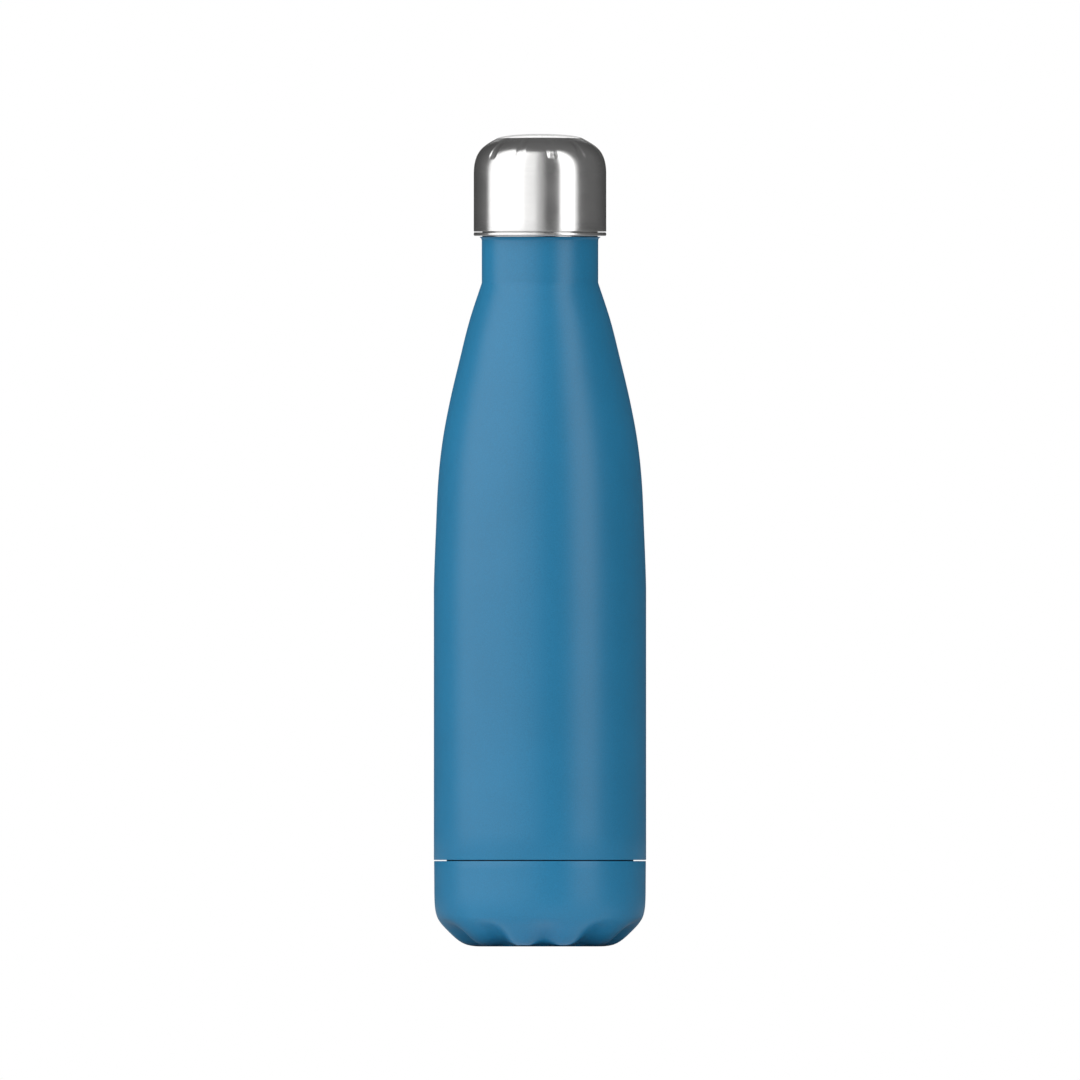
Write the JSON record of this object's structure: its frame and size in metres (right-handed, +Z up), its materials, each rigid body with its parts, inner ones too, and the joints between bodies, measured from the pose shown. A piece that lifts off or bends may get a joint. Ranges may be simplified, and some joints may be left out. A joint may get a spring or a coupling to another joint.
{
  "type": "insulated drinking bottle",
  "caption": "Double-wall steel drinking bottle with a tapering shoulder, a fluted screw cap with a threaded stopper and a dimpled base cup that unscrews.",
  "frame": {"origin": "centre of the standing face, at the bottom of the base cup", "axes": "+Z up the bottle's axis to the cap, -Y towards the front, +X to the right of the front"},
  "size_m": [0.07, 0.07, 0.2679],
  "materials": {
    "outer_shell": "matte powder coat",
    "base_cup": "matte powder coat",
    "cap_shell": "fine satin polish",
    "cap_rim": "fine satin polish",
    "mouth_ring": "polished",
    "inner_flask": "electropolished",
    "inner_bottom": "electropolished",
    "jacket_bottom": "mill finish",
    "copper_shield": "bright foil",
    "getter_capsule": "plain",
    "seal_bead": "fused frit",
    "base_collar": "moulded",
    "base_thread_ring": "moulded",
    "cap_core": "moulded",
    "plug": "moulded",
    "plug_foam": "foam",
    "plug_base": "polished",
    "lip_gasket": "silicone",
    "base_gasket": "silicone",
    "cushion_mat": "matte"
  },
  "bodies": {
    "base": {"base_cup": "base_cup", "base_thread_ring": "base_thread_ring", "cushion_mat": "cushion_mat"},
    "base_riser": {"base_gasket": "base_gasket"},
    "flask": {"outer_shell": "outer_shell", "inner_flask": "inner_flask", "inner_bottom": "inner_bottom", "mouth_ring": "mouth_ring", "copper_shield": "copper_shield", "jacket_bottom": "jacket_bottom", "getter_capsule": "getter_capsule", "seal_bead": "seal_bead", "base_collar": "base_collar"},
    "cap_riser": {"lip_gasket": "lip_gasket"},
    "cap": {"cap_shell": "cap_shell", "cap_rim": "cap_rim", "cap_core": "cap_core", "plug": "plug", "plug_foam": "plug_foam", "plug_base": "plug_base"}
  },
  "joints": [
    {"name": "flask_rise", "type": "slide", "parent": "base", "child": "base_riser", "axis": [0, 0, 1], "range_m": [0, 0.012]},
    {"name": "flask_turn", "type": "hinge", "parent": "base_riser", "child": "flask", "pos_m": [0, 0, 0.0225], "axis": [0, 0, 1], "range_deg": [0, 720]},
    {"name": "cap_rise", "type": "slide", "parent": "flask", "child": "cap_riser", "axis": [0, 0, 1], "range_m": [0, 0.032]},
    {"name": "cap_turn", "type": "hinge", "parent": "cap_riser", "child": "cap", "pos_m": [0, 0, 0.251], "axis": [0, 0, 1], "range_deg": [0, 1440]}
  ],
  "couplings": [
    {"joint": "flask_rise", "follows": "flask_turn", "m_per_rad": 0.00095493},
    {"joint": "cap_rise", "follows": "cap_turn", "m_per_rad": 0.0012732}
  ]
}
